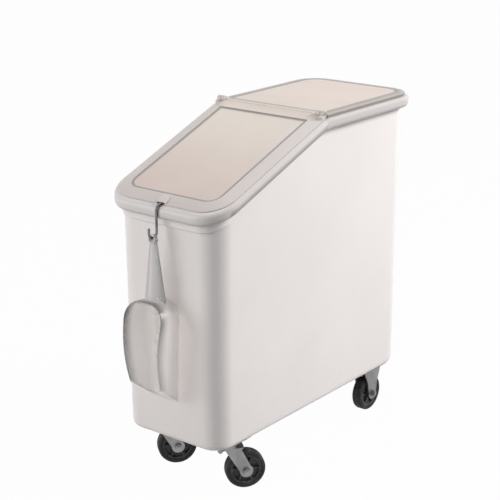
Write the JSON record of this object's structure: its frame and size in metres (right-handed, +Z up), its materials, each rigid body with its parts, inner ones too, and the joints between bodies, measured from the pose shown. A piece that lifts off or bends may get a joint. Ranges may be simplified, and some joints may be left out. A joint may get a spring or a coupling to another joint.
{
  "type": "rolling flour bin",
  "caption": "Slant-top flour bin on casters: moulded tub, hinged clear front lid on a lift-off rear lid, and a scoop hung on a wire hook.",
  "frame": {"origin": "on the floor, under the middle of the whole object's box, scoop included", "axes": "+Z up; the front, with the hook and scoop, faces -Y; X across the width"},
  "size_m": [0.3, 0.7588, 0.7515],
  "materials": {
    "white_plastic": "satin moulded polyethylene",
    "clear_plastic": "clear polycarbonate, faintly warm",
    "grey_pin": "satin",
    "wire": "drawn wire",
    "scoop_plastic": "clear polycarbonate",
    "zinc": "bright zinc plate",
    "ball_steel": "polished",
    "hub_plastic": "moulded",
    "tyre_rubber": "matt"
  },
  "bodies": {
    "tub": {"tub": "white_plastic", "plate_bolts": "zinc", "plate_washers": "zinc", "plate_nuts": "zinc", "front_left_plate": "zinc", "front_left_king_pin": "zinc", "front_left_king_nut": "zinc", "front_right_plate": "zinc", "front_right_king_pin": "zinc", "front_right_king_nut": "zinc", "rear_left_bracket": "zinc", "rear_left_axle": "zinc", "rear_left_axle_nut": "zinc", "rear_left_sleeve": "ball_steel", "rear_right_bracket": "zinc", "rear_right_axle": "zinc", "rear_right_axle_nut": "zinc", "rear_right_sleeve": "ball_steel"},
    "rear_lid": {"rear_lid": "clear_plastic", "hinge_pins": "grey_pin"},
    "front_lid": {"front_lid": "clear_plastic"},
    "s_hook": {"s_hook": "wire"},
    "scoop": {"scoop": "scoop_plastic"},
    "front_left_swivel": {"front_left_fork": "zinc", "front_left_balls": "ball_steel", "front_left_axle": "zinc", "front_left_axle_nut": "zinc", "front_left_sleeve": "ball_steel"},
    "front_left_wheel": {"front_left_core": "hub_plastic", "front_left_tyre": "tyre_rubber"},
    "front_right_swivel": {"front_right_fork": "zinc", "front_right_balls": "ball_steel", "front_right_axle": "zinc", "front_right_axle_nut": "zinc", "front_right_sleeve": "ball_steel"},
    "front_right_wheel": {"front_right_core": "hub_plastic", "front_right_tyre": "tyre_rubber"},
    "rear_left_wheel": {"rear_left_core": "hub_plastic", "rear_left_tyre": "tyre_rubber"},
    "rear_right_wheel": {"rear_right_core": "hub_plastic", "rear_right_tyre": "tyre_rubber"}
  },
  "joints": [
    {"name": "rear_lid_lift", "type": "slide", "parent": "tub", "child": "rear_lid", "axis": [0, 0, 1], "range_m": [0, 0.15]},
    {"name": "front_lid_hinge", "type": "hinge", "parent": "rear_lid", "child": "front_lid", "pos_m": [0, 0.0355, 0.745], "axis": [-1, 0, 0], "range_deg": [0, 190]},
    {"name": "hook_shift", "type": "slide", "parent": "tub", "child": "s_hook", "axis": [1, 0, 0], "range_m": [-0.006, 0.006]},
    {"name": "scoop_swing", "type": "hinge", "parent": "s_hook", "child": "scoop", "pos_m": [0, -0.3343, 0.55855], "axis": [-1, 0, 0], "range_deg": [0, 60]},
    {"name": "front_left_swivel_turn", "type": "hinge", "parent": "tub", "child": "front_left_swivel", "pos_m": [-0.093, -0.2265, 0.099], "axis": [0, 0, 1], "continuous": true},
    {"name": "front_left_wheel_spin", "type": "hinge", "parent": "front_left_swivel", "child": "front_left_wheel", "pos_m": [-0.0716, -0.20008, 0.042], "axis": [0.7771, -0.6293, 0], "continuous": true},
    {"name": "front_right_swivel_turn", "type": "hinge", "parent": "tub", "child": "front_right_swivel", "pos_m": [0.093, -0.2265, 0.099], "axis": [0, 0, 1], "continuous": true},
    {"name": "front_right_wheel_spin", "type": "hinge", "parent": "front_right_swivel", "child": "front_right_wheel", "pos_m": [0.1144, -0.20008, 0.042], "axis": [0.7771, -0.6293, 0], "continuous": true},
    {"name": "rear_left_wheel_spin", "type": "hinge", "parent": "tub", "child": "rear_left_wheel", "pos_m": [-0.093, 0.2795, 0.042], "axis": [1, 0, 0], "continuous": true},
    {"name": "rear_right_wheel_spin", "type": "hinge", "parent": "tub", "child": "rear_right_wheel", "pos_m": [0.093, 0.2795, 0.042], "axis": [1, 0, 0], "continuous": true}
  ]
}
